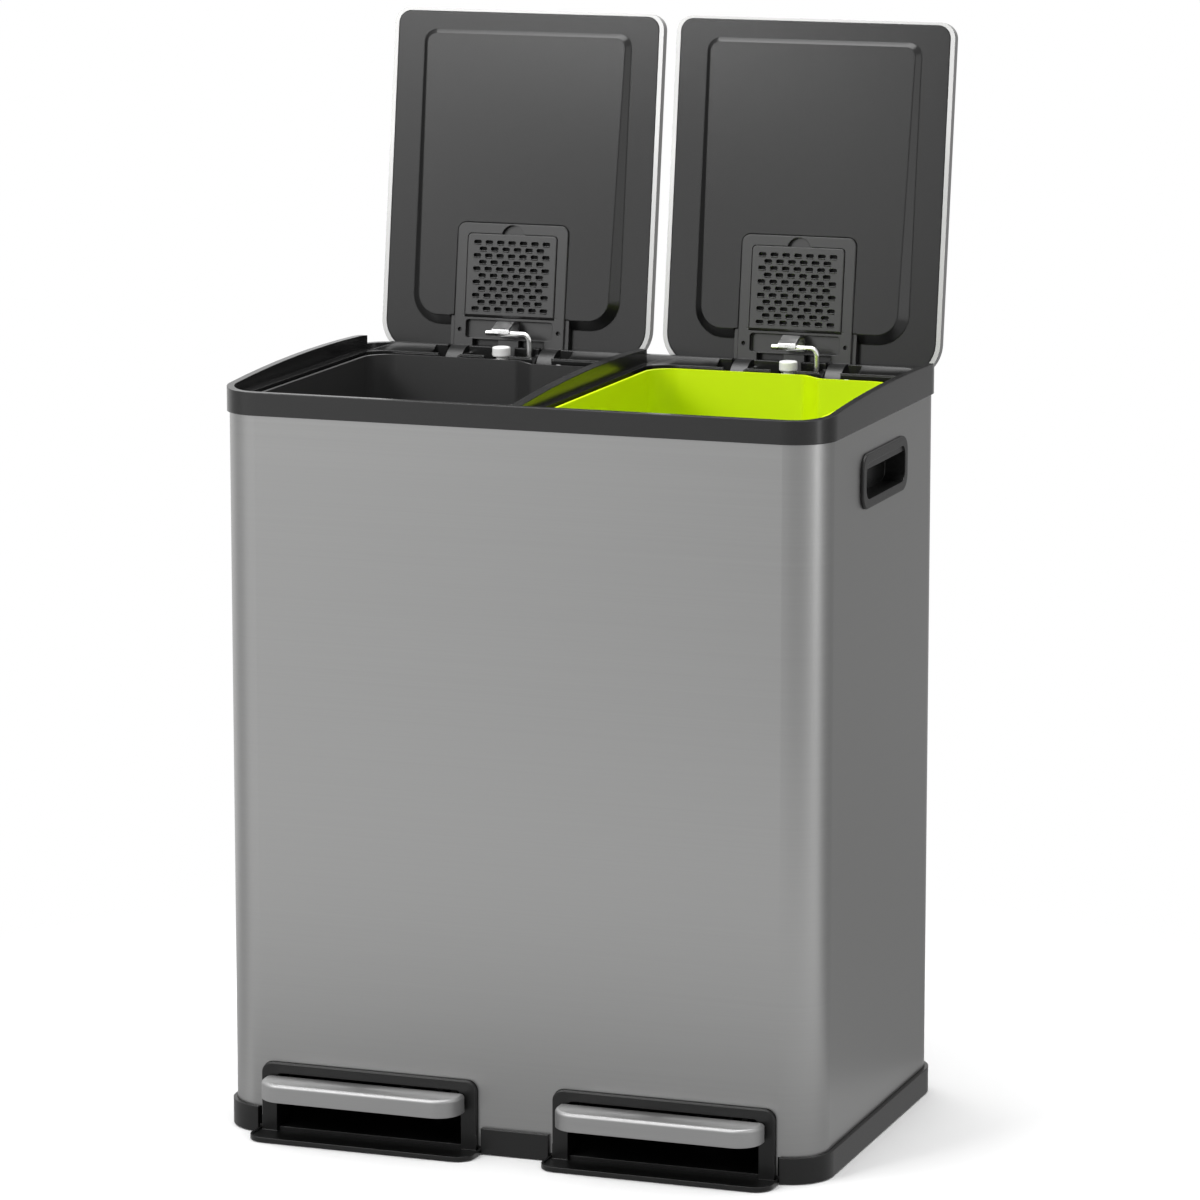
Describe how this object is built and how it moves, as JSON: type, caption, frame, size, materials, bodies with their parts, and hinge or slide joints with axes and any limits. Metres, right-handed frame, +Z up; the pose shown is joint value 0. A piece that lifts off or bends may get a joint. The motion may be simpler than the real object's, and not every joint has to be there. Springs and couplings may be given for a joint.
{
  "type": "double recycling bin",
  "caption": "Pedal bin with a steel body, side-by-side lift-out buckets, separate pedals and hinged lids with filter doors.",
  "frame": {"origin": "on the floor under the middle of the steel body, at the centre floor pad", "axes": "+X to the right seen from the pedals, +Y from the pedals to the back, +Z up"},
  "size_m": [0.507, 0.4177, 0.8752],
  "materials": {
    "axle_steel": "bright",
    "base_plastic": "fine matte",
    "bucket_grey": "satin",
    "bucket_lime": "satin",
    "clip_steel": "satin",
    "door_plastic": "satin",
    "filter_foam": "charcoal felt",
    "frame_plastic": "satin",
    "handle_plastic": "satin",
    "hinge_plastic": "satin",
    "housing_plastic": "satin",
    "inner_plastic": "matte",
    "lever_steel": "black paint",
    "lid_steel": "brushed stainless steel",
    "liner_plastic": "satin",
    "pad_rubber": "matte",
    "pedal_steel": "grey satin",
    "plunger_nylon": "smooth",
    "rod_steel": "zinc plated",
    "screw_steel": "blackened",
    "shell_steel": "horizontally brushed stainless steel"
  },
  "bodies": {
    "base": {"outer_shell": "shell_steel", "base_tray": "base_plastic", "floor_pads": "pad_rubber", "inner_floor": "inner_plastic", "top_frame": "frame_plastic", "hand_hold_left": "handle_plastic", "pedal_housing_left": "housing_plastic", "pedal_axle_left": "axle_steel", "rod_guide_left": "inner_plastic", "damper_body_left": "inner_plastic", "hinge_pins_left": "axle_steel", "hand_hold_right": "handle_plastic", "pedal_housing_right": "housing_plastic", "pedal_axle_right": "axle_steel", "rod_guide_right": "inner_plastic", "damper_body_right": "inner_plastic", "hinge_pins_right": "axle_steel"},
    "lid_left": {"lid_cover_left": "lid_steel", "lid_liner_left": "liner_plastic", "hinge_plate_left": "hinge_plastic", "hinge_plate_screws_left": "screw_steel", "rod_clip_left": "clip_steel", "filter_pad_left": "filter_foam"},
    "filter_door_left": {"filter_door_left": "door_plastic"},
    "lift_rod_left": {"lift_rod_left": "rod_steel"},
    "damper_plunger_left": {"damper_plunger_left": "plunger_nylon"},
    "pedal_left": {"pedal_lever_left": "lever_steel", "pedal_cap_left": "pedal_steel"},
    "bucket_left": {"bucket_left": "bucket_grey"},
    "lid_right": {"lid_cover_right": "lid_steel", "lid_liner_right": "liner_plastic", "hinge_plate_right": "hinge_plastic", "hinge_plate_screws_right": "screw_steel", "rod_clip_right": "clip_steel", "filter_pad_right": "filter_foam"},
    "filter_door_right": {"filter_door_right": "door_plastic"},
    "lift_rod_right": {"lift_rod_right": "rod_steel"},
    "damper_plunger_right": {"damper_plunger_right": "plunger_nylon"},
    "pedal_right": {"pedal_lever_right": "lever_steel", "pedal_cap_right": "pedal_steel"},
    "bucket_right": {"bucket_right": "bucket_lime"}
  },
  "joints": [
    {"name": "lid_left_hinge", "type": "hinge", "parent": "base", "child": "lid_left", "pos_m": [-0.1275, 0.1438, 0.579], "axis": [-1, 0, 0], "range_deg": [-97.75, 0]},
    {"name": "filter_door_left_hinge", "type": "hinge", "parent": "lid_left", "child": "filter_door_left", "pos_m": [-0.1275, 0.17021, 0.62346], "axis": [1, 0, 0], "range_deg": [0, 50]},
    {"name": "lift_rod_left_slide", "type": "slide", "parent": "base", "child": "lift_rod_left", "axis": [0, 0, 1], "range_m": [-0.0321, 0]},
    {"name": "damper_plunger_left_slide", "type": "slide", "parent": "base", "child": "damper_plunger_left", "axis": [0, 0, 1], "range_m": [-0.0061, 0]},
    {"name": "pedal_left_hinge", "type": "hinge", "parent": "base", "child": "pedal_left", "pos_m": [-0.103, -0.032, 0.025], "axis": [1, 0, 0], "range_deg": [0, 10]},
    {"name": "bucket_left_lift", "type": "slide", "parent": "base", "child": "bucket_left", "axis": [0, 0, 1], "range_m": [0, 0.55]},
    {"name": "lid_right_hinge", "type": "hinge", "parent": "base", "child": "lid_right", "pos_m": [0.1225, 0.1438, 0.579], "axis": [-1, 0, 0], "range_deg": [-97.75, 0]},
    {"name": "filter_door_right_hinge", "type": "hinge", "parent": "lid_right", "child": "filter_door_right", "pos_m": [0.1225, 0.17021, 0.62346], "axis": [1, 0, 0], "range_deg": [0, 50]},
    {"name": "lift_rod_right_slide", "type": "slide", "parent": "base", "child": "lift_rod_right", "axis": [0, 0, 1], "range_m": [-0.0321, 0]},
    {"name": "damper_plunger_right_slide", "type": "slide", "parent": "base", "child": "damper_plunger_right", "axis": [0, 0, 1], "range_m": [-0.0061, 0]},
    {"name": "pedal_right_hinge", "type": "hinge", "parent": "base", "child": "pedal_right", "pos_m": [0.147, -0.032, 0.025], "axis": [1, 0, 0], "range_deg": [0, 10]},
    {"name": "bucket_right_lift", "type": "slide", "parent": "base", "child": "bucket_right", "axis": [0, 0, 1], "range_m": [0, 0.55]}
  ],
  "couplings": [
    {"joint": "lift_rod_left_slide", "follows": "lid_left_hinge", "m_per_rad": 0.018757},
    {"joint": "damper_plunger_left_slide", "follows": "lid_left_hinge", "m_per_rad": 0.003517},
    {"joint": "lift_rod_right_slide", "follows": "lid_right_hinge", "m_per_rad": 0.018757},
    {"joint": "damper_plunger_right_slide", "follows": "lid_right_hinge", "m_per_rad": 0.003517}
  ]
}
